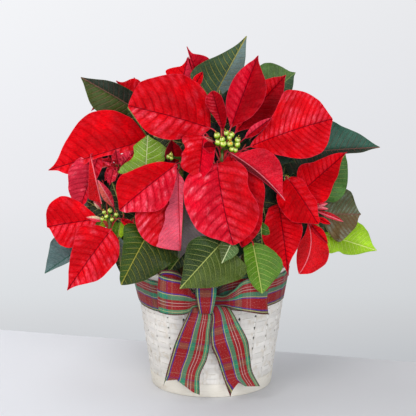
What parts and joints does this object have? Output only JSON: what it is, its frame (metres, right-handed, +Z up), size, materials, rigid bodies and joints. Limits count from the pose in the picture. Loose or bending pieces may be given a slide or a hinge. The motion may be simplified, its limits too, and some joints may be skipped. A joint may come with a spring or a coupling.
{
  "type": "potted poinsettia",
  "caption": "Poinsettia with red bracts and green leaves, growing in a nursery pot of potting mix set in a round woven chip-wood basket with a tartan ribbon and bow",
  "frame": {"origin": "middle of the flat underside of the basket, on the surface it stands on", "axes": "+Z up the plant, -Y toward the bow, which is the front, and +X to the right seen from the front"},
  "size_m": [0.4185, 0.3387, 0.4358],
  "materials": {
    "chip_wood": "whitewashed, matte",
    "pot_plastic": "matte",
    "potting_mix": "damp, crumbly",
    "tartan_ribbon": "woven tartan",
    "red_bract": "velvety leaf skin",
    "green_leaf": "satin leaf skin",
    "flower_bud": "satin"
  },
  "bodies": {
    "root": {"basket": "chip_wood", "grow_pot": "pot_plastic", "potting_mix": "potting_mix", "ribbon_band": "tartan_ribbon", "bow_loop_left": "tartan_ribbon", "bow_loop_right": "tartan_ribbon", "bow_knot": "tartan_ribbon", "ribbon_tail_left": "tartan_ribbon", "ribbon_tail_right": "tartan_ribbon", "bracts_centre": "red_bract", "flowers_centre": "flower_bud", "stem_and_leaves_centre": "green_leaf", "bracts_left": "red_bract", "flowers_left": "flower_bud", "stem_and_leaves_left": "green_leaf", "bracts_right": "red_bract", "flowers_right": "flower_bud", "stem_and_leaves_right": "green_leaf", "bracts_upper_left": "red_bract", "flowers_upper_left": "flower_bud", "stem_and_leaves_upper_left": "green_leaf", "bracts_middle_left": "red_bract", "flowers_middle_left": "flower_bud", "stem_and_leaves_middle_left": "green_leaf", "bracts_lower_right": "red_bract", "flowers_lower_right": "flower_bud", "stem_and_leaves_lower_right": "green_leaf", "bracts_top": "red_bract", "flowers_top": "flower_bud", "stem_and_leaves_top": "green_leaf", "bracts_top_left": "red_bract", "flowers_top_left": "flower_bud", "stem_and_leaves_top_left": "green_leaf", "bracts_back_right": "red_bract", "flowers_back_right": "flower_bud", "stem_and_leaves_back_right": "green_leaf", "bracts_back_left": "red_bract", "flowers_back_left": "flower_bud", "stem_and_leaves_back_left": "green_leaf", "bracts_back": "red_bract", "flowers_back": "flower_bud", "stem_and_leaves_back": "green_leaf"}
  },
  "joints": []
}
